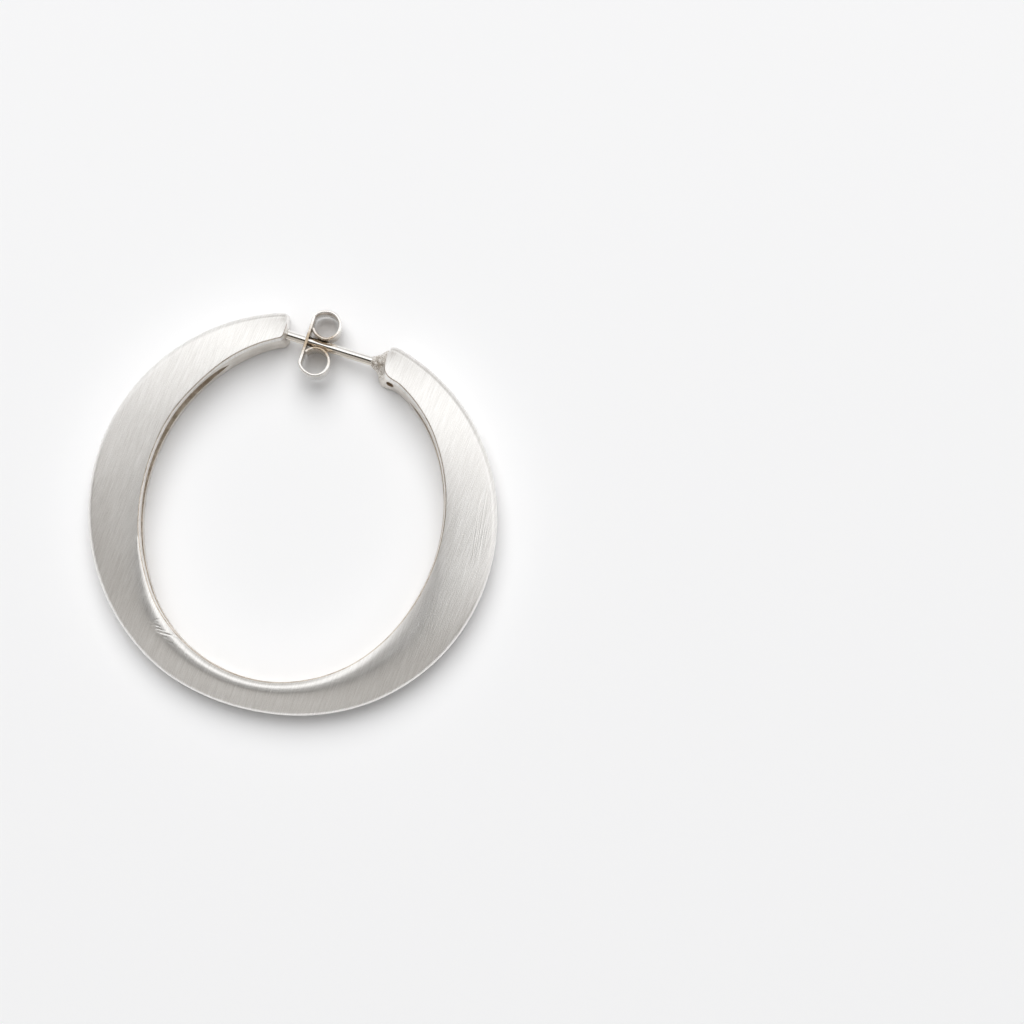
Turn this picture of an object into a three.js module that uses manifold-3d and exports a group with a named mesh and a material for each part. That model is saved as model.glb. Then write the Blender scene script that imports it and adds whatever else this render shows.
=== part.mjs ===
import * as THREE from "three";
import { mergeVertices } from "three/addons/utils/BufferGeometryUtils.js";
import Module from "manifold-3d";

const wasm = await Module();
wasm.setup();

// Sizes in millimetres. X and Y span the hoop's own plane, and it lies on Z = 0.

// Hoop band
const HOOP_RADIUS = 19.0;
const FACE_HEIGHT = 3.5;
const SHELL_WALL = 0.55;
const BASE_ROUND = 0.45;
const SHOULDER_ROUND = 0.38;
const LIP_ROUND = 0.07;
const FOOT_ROUND = 0.25;
const END_BREAK = 0.08;
const LEFT_END_ANGLE = 91.5;
const BAND_SWEEP = 327.8;
const FACE_CURVE_POWER = 1.6;
const FACE_DIP_POWER = 3.5;

// Solid metal left between the shell's hollow and each end
const LEFT_END_WALL = 1.6;
const RIGHT_END_WALL = 1.8;

// Open slot in the inner wall: the shares of the way round where it starts and ends
const SLOT_START = 0.067;
const SLOT_END = 0.953;
const SLOT_OVERRUN = 1.2;

// Post, soldered to the right end and reaching into the left one. It meets each end face at a share
// of the band's width there, counted from the outer side.
const POST_RADIUS = 0.45;
const POST_HEIGHT = 1.9;
const POST_SEAT_SHARE = 0.66;
const TIP_SEAT_SHARE = 0.76;
const POST_TIP_DEPTH = 0.45;
const POST_TIP_ROUND = 0.15;
const SOLDER_RADIUS = 1.4;
const SOLDER_STAND = 1.0;
const SOLDER_DEPTH = 0.6;

// Blind hole in the left end that takes the post's tip
const TIP_HOLE_CLEARANCE = 0.08;
const TIP_HOLE_DEPTH = 0.95;
const TIP_HOLE_OVERRUN = 0.8;

// Vent hole at the right end's inner corner: its distance from the end face, its place between
// the inner wall's foot and lip, its share of the wall's height, and its tilt from level
const VENT_RADIUS = 0.3;
const VENT_LENGTH = 2.6;
const VENT_FROM_END = 2.0;
const VENT_SHARE = 0.4;
const VENT_HEIGHT_SHARE = 0.58;
const VENT_TILT = 60;

// Butterfly nut, one stamped strip rolled into two scrolls
const NUT_STRIP = 0.27;
const NUT_WIDTH = 2.4;
const NUT_TO_LEFT_END = 1.69;
const NUT_LEAN = 6;
const NUT_CLEARANCE = 0.06;
const SCROLL_SIDE = 1.78;
const SCROLL_REACH = 1.47;
const SCROLL_RADIUS = 1.28;
const SCROLL_END_RADIUS = 1.24;
const SCROLL_JOIN_ANGLE = 158;
const SCROLL_BLEND_ANGLE = 100;
const SCROLL_END_ANGLE = -150;

// Fineness of the faceted curves
const BAND_STEPS = 76;
const HOLLOW_STEPS = 60;
const FACE_STEPS = 9;
const ROUND_STEPS = 3;
const POST_SIDES = 24;
const VENT_SIDES = 16;
const SCROLL_STEPS = 30;
const WELD = 1e-5;

// The band's section at each share of the way round, from the left end to the right.
// Radii are shares of the hoop's radius: reach is the outer side, lip the top face's inner edge,
// foot the inner wall at the base. Heights are shares of the face height: crest, lip and shoulder,
// the outer edge of the face.
// ridge is where the crest lies, as a share of the face's width counted from the outer side.
const BAND_COLUMNS = ["way", "reach", "lip", "foot", "ridge", "crest", "lipHeight", "shoulder"];
const BAND_TABLE = [
  [0, 0.978, 0.918, 0.844, 1.3, 1.08, 1.06, 0.86],
  [0.0046, 0.983, 0.866, 0.824, 1.3, 1.08, 1.08, 0.86],
  [0.0107, 0.984, 0.855, 0.82, 1.3, 1.08, 1.08, 0.86],
  [0.0259, 0.985, 0.845, 0.812, 1.3, 1.07, 1.07, 0.86],
  [0.0564, 0.987, 0.822, 0.79, 1.3, 1.05, 1.05, 0.85],
  [0.1022, 0.991, 0.784, 0.763, 1.3, 1.03, 1.03, 0.83],
  [0.148, 0.996, 0.763, 0.744, 1.25, 1.01, 1.01, 0.81],
  [0.1937, 1.0, 0.745, 0.733, 1.15, 1.0, 1.0, 0.79],
  [0.2395, 1.001, 0.74, 0.735, 1.05, 1.0, 1.0, 0.79],
  [0.2852, 1.0, 0.749, 0.745, 0.76, 1.0, 0.99, 0.78],
  [0.331, 1.0, 0.767, 0.77, 0.66, 1.0, 0.98, 0.78],
  [0.3768, 1.0, 0.797, 0.803, 0.65, 0.99, 0.95, 0.77],
  [0.4225, 0.998, 0.815, 0.828, 0.66, 0.98, 0.91, 0.76],
  [0.4683, 0.987, 0.826, 0.838, 0.67, 0.97, 0.89, 0.76],
  [0.514, 0.982, 0.826, 0.836, 0.68, 0.97, 0.89, 0.76],
  [0.5598, 0.988, 0.81, 0.819, 0.68, 0.98, 0.89, 0.76],
  [0.6056, 0.997, 0.789, 0.794, 0.68, 0.99, 0.93, 0.77],
  [0.6513, 1.002, 0.762, 0.764, 0.67, 1.0, 0.96, 0.79],
  [0.6971, 1.005, 0.74, 0.737, 0.66, 1.0, 0.975, 0.81],
  [0.7428, 1.004, 0.731, 0.724, 0.84, 1.0, 0.985, 0.82],
  [0.7886, 1.001, 0.735, 0.725, 1.05, 1.0, 1.0, 0.81],
  [0.8344, 0.997, 0.749, 0.736, 1.2, 1.01, 1.01, 0.81],
  [0.8801, 0.99, 0.771, 0.753, 1.25, 1.03, 1.03, 0.83],
  [0.9259, 0.981, 0.799, 0.772, 1.3, 1.05, 1.05, 0.85],
  [0.9716, 0.968, 0.818, 0.781, 1.3, 1.07, 1.07, 0.85],
  [0.9869, 0.963, 0.815, 0.763, 1.3, 1.08, 1.08, 0.85],
  [0.9945, 0.96, 0.838, 0.772, 1.3, 1.08, 1.07, 0.85],
  [1, 0.95, 0.9, 0.803, 1.3, 1.08, 1.05, 0.85],
];

// The slot's edges at each share of the way round, as shares of the face height
const SLOT_COLUMNS = ["way", "low", "high"];
const SLOT_TABLE = [
  [0.0671, 0.3, 0.4],
  [0.0778, 0.22, 0.6],
  [0.1022, 0.18, 0.64],
  [0.148, 0.18, 0.62],
  [0.209, 0.2, 0.54],
  [0.2852, 0.22, 0.5],
  [0.4225, 0.24, 0.5],
  [0.6056, 0.24, 0.5],
  [0.7886, 0.22, 0.5],
  [0.8801, 0.24, 0.48],
  [0.9411, 0.28, 0.44],
  [0.9533, 0.32, 0.4],
];

// The solder fillet's flank, from its root to the post: how far its radius is from the post's
// towards the fillet's full one, and how far along its stand, both as shares
const SOLDER_PROFILE = [
  [1.0, -0.15],
  [0.7, 0.1],
  [0.4, 0.35],
  [0.18, 0.65],
  [0.05, 0.9],
  [0.0, 1.05],
];

// The stretch at each end whose sections stand closer, and where they stand along it, as shares
const BAND_END_SPAN = 1.1;
const END_STEPS = [0, 0.073, 0.32, 0.64];

function slopeAt(rows, column, index) {
  const before = rows[Math.max(index - 1, 0)];
  const after = rows[Math.min(index + 1, rows.length - 1)];
  return (after[column] - before[column]) / (after[0] - before[0]);
}

// A smooth curve through one column of a table, by cubic spans between its rows
function readColumn(rows, column, way) {
  let index = 0;
  while (index < rows.length - 2 && way > rows[index + 1][0]) {
    index += 1;
  }
  const from = rows[index];
  const to = rows[index + 1];
  const span = to[0] - from[0];
  const t = THREE.MathUtils.clamp((way - from[0]) / span, 0, 1);
  const startSlope = slopeAt(rows, column, index) * span;
  const endSlope = slopeAt(rows, column, index + 1) * span;
  const t2 = t * t;
  const t3 = t2 * t;
  return (2 * t3 - 3 * t2 + 1) * from[column]
    + (t3 - 2 * t2 + t) * startSlope
    + (3 * t2 - 2 * t3) * to[column]
    + (t3 - t2) * endSlope;
}

function bandAt(way) {
  const band = {};
  for (let column = 1; column < BAND_COLUMNS.length; column += 1) {
    band[BAND_COLUMNS[column]] = readColumn(BAND_TABLE, column, way);
  }
  return {
    reach: band.reach * HOOP_RADIUS,
    lip: band.lip * HOOP_RADIUS,
    foot: band.foot * HOOP_RADIUS,
    ridge: band.ridge,
    crest: band.crest * FACE_HEIGHT,
    lipHeight: band.lipHeight * FACE_HEIGHT,
    shoulder: band.shoulder * FACE_HEIGHT,
  };
}

// Height of the top face at a share of its width: it climbs to the crest, then dips to the lip
function faceHeight(band, share) {
  if (share <= band.ridge) {
    const climb = Math.pow(1 - share / band.ridge, FACE_CURVE_POWER);
    const foot = Math.pow(1 - 1 / Math.max(band.ridge, 1), FACE_CURVE_POWER);
    return band.crest - (band.crest - band.shoulder) * (climb - foot) / (1 - foot);
  }
  const dip = (share - band.ridge) / (1 - band.ridge);
  return band.crest - (band.crest - band.lipHeight) * Math.pow(dip, FACE_DIP_POWER);
}

// A quarter round between two section points, bulging towards the corner point
function quarterRound(from, corner, to) {
  const points = [];
  for (let step = 1; step < ROUND_STEPS; step += 1) {
    const turn = (step / ROUND_STEPS) * (Math.PI / 2);
    const a = 1 - Math.sin(turn);
    const b = 1 - Math.cos(turn);
    points.push(new THREE.Vector2(
      corner.x + (from.x - corner.x) * a + (to.x - corner.x) * b,
      corner.y + (from.y - corner.y) * a + (to.y - corner.y) * b,
    ));
  }
  return points;
}

// The band's outline across the hoop: x is the distance from the hoop's centre, y the height
function bandSection(band, inset) {
  const reach = band.reach - inset;
  const lip = band.lip + inset;
  const foot = band.foot + inset;
  const floor = inset;
  const shoulder = band.shoulder - inset;
  const baseStart = new THREE.Vector2(reach - BASE_ROUND, floor);
  const baseEnd = new THREE.Vector2(reach, floor + BASE_ROUND);
  const sideEnd = new THREE.Vector2(reach, shoulder - SHOULDER_ROUND);
  const faceStart = new THREE.Vector2(reach - SHOULDER_ROUND, shoulder);
  const points = [baseStart];
  points.push(...quarterRound(baseStart, new THREE.Vector2(reach, floor), baseEnd));
  points.push(baseEnd, sideEnd);
  points.push(...quarterRound(sideEnd, new THREE.Vector2(reach, shoulder), faceStart));
  for (let step = 0; step <= FACE_STEPS; step += 1) {
    const share = step / FACE_STEPS;
    const across = THREE.MathUtils.lerp(faceStart.x, lip + LIP_ROUND, share);
    points.push(new THREE.Vector2(across, faceHeight(band, share) - inset));
  }
  const lipTop = points[points.length - 1].y;
  const wallTop = lipTop - LIP_ROUND;
  const wallMiddle = wallTop / 2;
  points.push(new THREE.Vector2(lip, wallTop));
  points.push(new THREE.Vector2(THREE.MathUtils.lerp(foot, lip, 0.65), (wallTop + wallMiddle) / 2));
  points.push(new THREE.Vector2(THREE.MathUtils.lerp(foot, lip, 0.3), wallMiddle));
  const footStart = new THREE.Vector2(foot, floor + FOOT_ROUND);
  const footEnd = new THREE.Vector2(foot + FOOT_ROUND, floor);
  points.push(footStart);
  points.push(...quarterRound(footStart, new THREE.Vector2(foot, floor), footEnd));
  points.push(footEnd);
  return points;
}

// The hollow's outline: the band's outline moved in by the shell's wall
function hollowSection(band) {
  const outer = band.reach - SHELL_WALL;
  const lip = band.lip + SHELL_WALL;
  const foot = band.foot + SHELL_WALL;
  const points = [new THREE.Vector2(outer - BASE_ROUND / 2, SHELL_WALL)];
  points.push(new THREE.Vector2(outer, SHELL_WALL + BASE_ROUND / 2));
  points.push(new THREE.Vector2(outer, band.shoulder - SHELL_WALL - SHOULDER_ROUND / 2));
  const faceFrom = band.reach - SHOULDER_ROUND;
  const faceTo = band.lip + LIP_ROUND;
  const stops = [outer - SHOULDER_ROUND, THREE.MathUtils.lerp(outer, lip, 0.35)];
  stops.push(THREE.MathUtils.lerp(outer, lip, 0.65), lip + SHELL_WALL / 4);
  for (const across of stops) {
    const share = (across - faceFrom) / (faceTo - faceFrom);
    points.push(new THREE.Vector2(across, faceHeight(band, share) - SHELL_WALL));
  }
  const top = points[points.length - 1].y;
  points.push(new THREE.Vector2(lip, top - SHELL_WALL / 4));
  const wallMiddle = band.lipHeight / 2;
  const middle = THREE.MathUtils.lerp(foot, lip, 0.3);
  points.push(new THREE.Vector2(middle, wallMiddle));
  points.push(new THREE.Vector2(foot + SHELL_WALL / 4, SHELL_WALL));
  return points;
}

// The slot cutter's outline: from inside the hollow out past the inner wall
function slotSection(way) {
  const band = bandAt(way);
  const low = readColumn(SLOT_TABLE, SLOT_COLUMNS.indexOf("low"), way) * FACE_HEIGHT;
  const high = readColumn(SLOT_TABLE, SLOT_COLUMNS.indexOf("high"), way) * FACE_HEIGHT;
  const from = Math.min(band.lip, band.foot) - SLOT_OVERRUN;
  const to = Math.max(band.lip, band.foot) + SHELL_WALL + SHELL_WALL / 2;
  return [
    new THREE.Vector2(from, low),
    new THREE.Vector2(to, low),
    new THREE.Vector2(to, high),
    new THREE.Vector2(from, high),
  ];
}

// A closed body through sections stood up round the hoop, each at its share of the way round
function sweepRound(ways, sections) {
  const count = sections[0].length;
  const positions = [];
  for (let station = 0; station < ways.length; station += 1) {
    const turn = turnAt(ways[station]);
    for (const point of sections[station]) {
      positions.push(point.x * Math.cos(turn), point.x * Math.sin(turn), point.y);
    }
  }
  const indices = [];
  for (let station = 0; station < ways.length - 1; station += 1) {
    for (let side = 0; side < count; side += 1) {
      const a = station * count + side;
      const b = station * count + (side + 1) % count;
      indices.push(a, a + count, b, b, a + count, b + count);
    }
  }
  const last = (ways.length - 1) * count;
  for (const [a, b, c] of THREE.ShapeUtils.triangulateShape(sections[0], [])) {
    indices.push(a, b, c);
  }
  for (const [a, b, c] of THREE.ShapeUtils.triangulateShape(sections[sections.length - 1], [])) {
    indices.push(last + a, last + c, last + b);
  }
  const geometry = new THREE.BufferGeometry();
  geometry.setAttribute("position", new THREE.Float32BufferAttribute(positions, 3));
  geometry.setIndex(indices);
  return geometry;
}

function turnAt(way) {
  return THREE.MathUtils.degToRad(LEFT_END_ANGLE + BAND_SWEEP * way);
}

function spreadWays(from, to, steps) {
  const ways = [];
  for (let step = 0; step <= steps; step += 1) {
    ways.push(THREE.MathUtils.lerp(from, to, step / steps));
  }
  return ways;
}

// The share of the way round that a length along the band takes up
function wayOf(length) {
  return length / (HOOP_RADIUS * THREE.MathUtils.degToRad(BAND_SWEEP));
}

// The point on an end face, at the post's height, that lies at a share of the band's width
function endPoint(way, share) {
  const band = bandAt(way);
  const across = THREE.MathUtils.lerp(band.reach, band.foot, share);
  const turn = turnAt(way);
  return new THREE.Vector3(across * Math.cos(turn), across * Math.sin(turn), POST_HEIGHT);
}

function toSolid(geometry) {
  const bare = geometry.clone();
  bare.deleteAttribute("normal");
  bare.deleteAttribute("uv");
  const welded = mergeVertices(bare, WELD);
  const mesh = new wasm.Mesh({
    numProp: 3,
    vertProperties: new Float32Array(welded.attributes.position.array),
    triVerts: new Uint32Array(welded.index.array),
  });
  return new wasm.Manifold(mesh);
}

function toGeometry(solid) {
  const mesh = solid.getMesh();
  const geometry = new THREE.BufferGeometry();
  geometry.setAttribute("position", new THREE.Float32BufferAttribute(mesh.vertProperties, 3));
  geometry.setIndex(Array.from(mesh.triVerts));
  geometry.computeVertexNormals();
  return geometry;
}

const POST_SEAT = endPoint(1, POST_SEAT_SHARE);
const TIP_SEAT = endPoint(0, TIP_SEAT_SHARE);
const POST_SPAN = POST_SEAT.distanceTo(TIP_SEAT);

// Moves a shape made along +Y onto the post's axis: Y = 0 at the right end, +Y towards the tip
function alongPost(geometry) {
  const along = TIP_SEAT.clone().sub(POST_SEAT).normalize();
  const up = new THREE.Vector3(0, 0, 1);
  const side = new THREE.Vector3().crossVectors(along, up);
  const frame = new THREE.Matrix4().makeBasis(side, along, up);
  frame.setPosition(POST_SEAT);
  return geometry.applyMatrix4(frame);
}

function bandSkin() {
  const endWays = END_STEPS.map((share) => wayOf(BAND_END_SPAN * share));
  const ways = [...endWays];
  ways.push(...spreadWays(wayOf(BAND_END_SPAN), 1 - wayOf(BAND_END_SPAN), BAND_STEPS));
  ways.push(...endWays.map((way) => 1 - way).reverse());
  const sections = ways.map((way) => {
    const atEnd = way === 0 || way === 1;
    return bandSection(bandAt(way), atEnd ? END_BREAK : 0);
  });
  return sweepRound(ways, sections);
}

function bandHollow() {
  const ways = spreadWays(wayOf(LEFT_END_WALL), 1 - wayOf(RIGHT_END_WALL), HOLLOW_STEPS);
  return sweepRound(ways, ways.map((way) => hollowSection(bandAt(way))));
}

function wallSlot() {
  const ways = spreadWays(SLOT_START, SLOT_END, HOLLOW_STEPS);
  return sweepRound(ways, ways.map((way) => slotSection(way)));
}

// The post with its solder fillet, turned about the post's axis
function postAndSolder() {
  const tip = POST_SPAN + POST_TIP_DEPTH;
  const profile = [new THREE.Vector2(0, -SOLDER_DEPTH)];
  profile.push(new THREE.Vector2(SOLDER_RADIUS, -SOLDER_DEPTH));
  for (const [wide, far] of SOLDER_PROFILE) {
    const radius = THREE.MathUtils.lerp(POST_RADIUS, SOLDER_RADIUS, wide);
    profile.push(new THREE.Vector2(radius, far * SOLDER_STAND));
  }
  profile.push(new THREE.Vector2(POST_RADIUS, tip - POST_TIP_ROUND));
  profile.push(new THREE.Vector2(POST_RADIUS - POST_TIP_ROUND, tip));
  profile.push(new THREE.Vector2(0, tip));
  return alongPost(new THREE.LatheGeometry(profile, POST_SIDES));
}

function tipHole() {
  const length = TIP_HOLE_DEPTH + TIP_HOLE_OVERRUN;
  const radius = POST_RADIUS + TIP_HOLE_CLEARANCE;
  const hole = new THREE.CylinderGeometry(radius, radius, length, POST_SIDES);
  hole.translate(0, POST_SPAN + TIP_HOLE_DEPTH - length / 2, 0);
  return alongPost(hole);
}

function ventHole() {
  const way = 1 - wayOf(VENT_FROM_END);
  const band = bandAt(way);
  const hole = new THREE.CylinderGeometry(VENT_RADIUS, VENT_RADIUS, VENT_LENGTH, VENT_SIDES);
  hole.rotateX(Math.PI / 2);
  hole.rotateY(-THREE.MathUtils.degToRad(90 - VENT_TILT));
  hole.translate(
    THREE.MathUtils.lerp(band.foot, band.lip, VENT_SHARE),
    0,
    band.lipHeight * VENT_HEIGHT_SHARE,
  );
  hole.rotateZ(turnAt(way));
  return hole;
}

function hoopSolid() {
  const shell = toSolid(bandSkin()).subtract(toSolid(bandHollow())).subtract(toSolid(wallSlot()));
  const drilled = shell.subtract(toSolid(tipHole())).subtract(toSolid(ventHole()));
  return toGeometry(drilled.add(toSolid(postAndSolder())));
}

// The middle line of one scroll, from where it leaves the plate round to its free end
function scrollLine(side) {
  const points = [];
  for (let step = 0; step <= SCROLL_STEPS; step += 1) {
    const angle = THREE.MathUtils.lerp(SCROLL_JOIN_ANGLE, SCROLL_END_ANGLE, step / SCROLL_STEPS);
    const turn = THREE.MathUtils.degToRad(angle);
    const open = THREE.MathUtils.smoothstep(angle, SCROLL_BLEND_ANGLE, 180);
    const close = THREE.MathUtils.smoothstep(-angle, 60, -SCROLL_END_ANGLE);
    const roomy = THREE.MathUtils.lerp(SCROLL_RADIUS, SCROLL_REACH, open);
    const radius = THREE.MathUtils.lerp(roomy, SCROLL_END_RADIUS, close);
    const across = Math.max(SCROLL_REACH + radius * Math.cos(turn), 0);
    points.push(new THREE.Vector2(across, side * (SCROLL_SIDE + radius * Math.sin(turn))));
  }
  return points;
}

// The strip's outline seen on edge: its middle line moved out to both faces
function stripShape() {
  const line = [...scrollLine(-1).reverse(), ...scrollLine(1)];
  const left = [];
  const right = [];
  for (let index = 0; index < line.length; index += 1) {
    const before = line[Math.max(index - 1, 0)];
    const after = line[Math.min(index + 1, line.length - 1)];
    const along = after.clone().sub(before).normalize();
    const out = new THREE.Vector2(-along.y, along.x).multiplyScalar(NUT_STRIP / 2);
    left.push(line[index].clone().add(out));
    right.push(line[index].clone().sub(out));
  }
  return new THREE.Shape([...right, ...left.reverse()]);
}

function nutSolid() {
  const strip = new THREE.ExtrudeGeometry(stripShape(), { depth: NUT_WIDTH, bevelEnabled: false });
  strip.translate(0, 0, -NUT_WIDTH / 2);
  const boreRadius = POST_RADIUS + NUT_CLEARANCE;
  const bore = new THREE.CylinderGeometry(boreRadius, boreRadius, HOOP_RADIUS, POST_SIDES);
  bore.rotateZ(Math.PI / 2);
  const nut = toGeometry(toSolid(strip).subtract(toSolid(bore)));
  nut.rotateX(-THREE.MathUtils.degToRad(NUT_LEAN));
  nut.rotateZ(-Math.PI / 2);
  nut.translate(0, POST_SPAN - NUT_TO_LEFT_END, 0);
  return alongPost(nut);
}

function metal(name, color, roughness) {
  const material = new THREE.MeshStandardMaterial({ color, roughness, metalness: 1.0 });
  material.name = name;
  return material;
}

function namedMesh(name, geometry, material) {
  const mesh = new THREE.Mesh(geometry, material);
  mesh.name = name;
  return mesh;
}

const earring = new THREE.Group();
earring.name = "hoop_earring";
const fastener = new THREE.Group();
fastener.name = "fastener";
earring.add(namedMesh("hoop", hoopSolid(), metal("brushed_silver", 0xdedbd6, 0.38)));
fastener.add(namedMesh("scroll_nut", nutSolid(), metal("polished_silver", 0xe2dfda, 0.16)));
earring.add(fastener);

export default earring;
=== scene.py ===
"""Dresses the hoop earring: its brushed hollow band, the soldered post and the butterfly nut."""

from __future__ import annotations

import logging
import math
from dataclasses import dataclass, field
from enum import Enum, IntEnum

import bmesh
import bpy
import numpy as np
from mathutils import Matrix, Vector, noise

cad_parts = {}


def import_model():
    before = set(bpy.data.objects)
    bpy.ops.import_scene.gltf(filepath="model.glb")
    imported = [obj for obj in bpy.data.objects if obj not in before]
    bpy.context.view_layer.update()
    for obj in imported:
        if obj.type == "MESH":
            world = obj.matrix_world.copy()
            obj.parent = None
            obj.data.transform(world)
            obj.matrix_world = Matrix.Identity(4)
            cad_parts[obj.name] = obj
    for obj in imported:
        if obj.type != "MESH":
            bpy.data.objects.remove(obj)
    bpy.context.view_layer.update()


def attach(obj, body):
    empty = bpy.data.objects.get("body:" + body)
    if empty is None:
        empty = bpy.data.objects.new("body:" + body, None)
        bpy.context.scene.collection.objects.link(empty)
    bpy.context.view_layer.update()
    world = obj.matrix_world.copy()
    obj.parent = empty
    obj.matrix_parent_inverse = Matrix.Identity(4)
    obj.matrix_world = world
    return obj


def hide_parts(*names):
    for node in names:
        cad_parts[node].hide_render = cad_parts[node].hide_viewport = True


LOG = logging.getLogger("hoop_earring")
MM = 0.001
NOISE_RANGE = 0.35, 0.65
STREAK_ROUGHNESS = 0.55
SHARP_DEG = 40.0
SOLDER_SHARP_DEG = 60.0

# The band's section at each share of the way round, from the left end to the right: reach (outer
# side), lip (the face's inner edge) and foot (the inner wall at the base) as shares of the hoop's
# radius; ridge (the crest's place) as a share of the width; crest, lip and shoulder heights as
# shares of the face height.
BAND_COLUMNS = ("way", "reach", "lip", "foot", "ridge", "crest", "lip_height", "shoulder")
BAND_TABLE = np.array([
    (0, 0.978, 0.918, 0.844, 2.0, 1.08, 1.06, 0.86),
    (0.0046, 0.983, 0.866, 0.824, 2.0, 1.08, 1.08, 0.86),
    (0.0107, 0.984, 0.855, 0.82, 2.0, 1.08, 1.08, 0.86),
    (0.0259, 0.985, 0.845, 0.812, 2.0, 1.07, 1.07, 0.86),
    (0.0564, 0.987, 0.822, 0.79, 2.0, 1.05, 1.05, 0.85),
    (0.1022, 0.991, 0.784, 0.763, 3.0, 1.03, 1.03, 0.83),
    (0.148, 0.996, 0.763, 0.744, 2.4, 1.01, 1.01, 0.81),
    (0.1937, 1.0, 0.745, 0.733, 1.8, 1.0, 1.0, 0.79),
    (0.2395, 1.001, 0.74, 0.735, 1.35, 1.0, 1.0, 0.79),
    (0.2852, 1.0, 0.749, 0.745, 1.05, 1.0, 0.99, 0.78),
    (0.331, 1.0, 0.767, 0.77, 0.85, 1.0, 0.98, 0.78),
    (0.3768, 1.0, 0.797, 0.803, 0.73, 0.99, 0.95, 0.77),
    (0.4225, 0.998, 0.815, 0.828, 0.67, 0.98, 0.91, 0.76),
    (0.4683, 0.987, 0.826, 0.838, 0.67, 0.97, 0.89, 0.76),
    (0.514, 0.982, 0.826, 0.836, 0.68, 0.97, 0.89, 0.76),
    (0.5598, 0.988, 0.81, 0.819, 0.68, 0.98, 0.89, 0.76),
    (0.6056, 0.997, 0.789, 0.794, 0.68, 0.99, 0.93, 0.77),
    (0.6513, 1.002, 0.762, 0.764, 0.67, 1.0, 0.96, 0.79),
    (0.6971, 1.005, 0.74, 0.737, 0.66, 1.0, 0.975, 0.81),
    (0.7428, 1.004, 0.731, 0.724, 0.82, 1.0, 0.985, 0.82),
    (0.7886, 1.001, 0.735, 0.725, 1.15, 1.0, 1.0, 0.81),
    (0.8344, 0.997, 0.749, 0.736, 1.8, 1.01, 1.01, 0.81),
    (0.8801, 0.99, 0.771, 0.753, 2.6, 1.03, 1.03, 0.83),
    (0.9259, 0.981, 0.799, 0.772, 3.0, 1.05, 1.05, 0.85),
    (0.9716, 0.968, 0.818, 0.781, 2.0, 1.07, 1.07, 0.85),
    (0.9869, 0.963, 0.815, 0.763, 2.0, 1.08, 1.08, 0.85),
    (0.9945, 0.96, 0.838, 0.772, 2.0, 1.08, 1.07, 0.85),
    (1, 0.95, 0.9, 0.803, 2.0, 1.08, 1.05, 0.85),
])

# The slot's lower and upper edges at each share of the way round, as shares of the face height.
SLOT_TABLE = np.array([
    (0.0671, 0.5, 0.51),
    (0.0778, 0.38, 0.66),
    (0.1022, 0.3, 0.74),
    (0.148, 0.29, 0.74),
    (0.209, 0.31, 0.68),
    (0.2852, 0.35, 0.6),
    (0.4225, 0.32, 0.5),
    (0.6056, 0.32, 0.5),
    (0.7886, 0.32, 0.58),
    (0.8801, 0.3, 0.58),
    (0.9411, 0.32, 0.52),
    (0.9533, 0.42, 0.43),
])

# The solder fillet's flank, from its root to the post: how far its radius is from the post's
# towards the fillet's full one, and how far along its stand, both as shares.
SOLDER_PROFILE = np.array([(1.0, -0.15), (0.7, 0.1), (0.4, 0.35), (0.18, 0.65), (0.05, 0.9), (0.0, 1.05)])


class Slot(str, Enum):
    """The record's material slots, one passed along with each piece."""

    BRUSHED = "brushed_silver"
    POLISHED = "polished_silver"


class Node(str, Enum):
    """The CAD nodes that the pieces stand for."""

    HOOP = "hoop"
    NUT = "scroll_nut"


class Skin(IntEnum):
    """The band's finishes, in the order of its material slots; LIP and WALL carry painted shade."""

    BRUSHED = 0
    HOLLOW = 1
    LIP = 2
    WALL = 3


class Body(str, Enum):
    """The rigid bodies that the pieces ride on."""

    HOOP = "hoop_body"
    NUT = "nut_body"


def read_column(table: np.ndarray, column: int, ways: np.ndarray) -> np.ndarray:
    """Reads a smooth curve through one column of a table.

    Args:
        table: Rows that start with their share of the way round.
        column: The column to read.
        ways: Shares of the way round to read it at.

    Returns:
        The column's value at each of the ways, by cubic spans between the rows.
    """
    knots = table[:, 0]
    values = table[:, column]
    slopes = np.empty_like(values)
    slopes[1:-1] = (values[2:] - values[:-2]) / (knots[2:] - knots[:-2])
    slopes[0] = (values[1] - values[0]) / (knots[1] - knots[0])
    slopes[-1] = (values[-1] - values[-2]) / (knots[-1] - knots[-2])
    index = np.clip(np.searchsorted(knots, ways, side="right") - 1, 0, len(knots) - 2)
    span = knots[index + 1] - knots[index]
    t = np.clip((ways - knots[index]) / span, 0.0, 1.0)
    return (
        (2 * t**3 - 3 * t**2 + 1) * values[index]
        + (t**3 - 2 * t**2 + t) * slopes[index] * span
        + (3 * t**2 - 2 * t**3) * values[index + 1]
        + (t**3 - t**2) * slopes[index + 1] * span
    )


def smooth_step(low: float, high: float, values: np.ndarray) -> np.ndarray:
    """Returns a smooth climb from 0 at low to 1 at high."""
    t = np.clip((values - low) / (high - low), 0.0, 1.0)
    return t * t * (3 - 2 * t)


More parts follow.
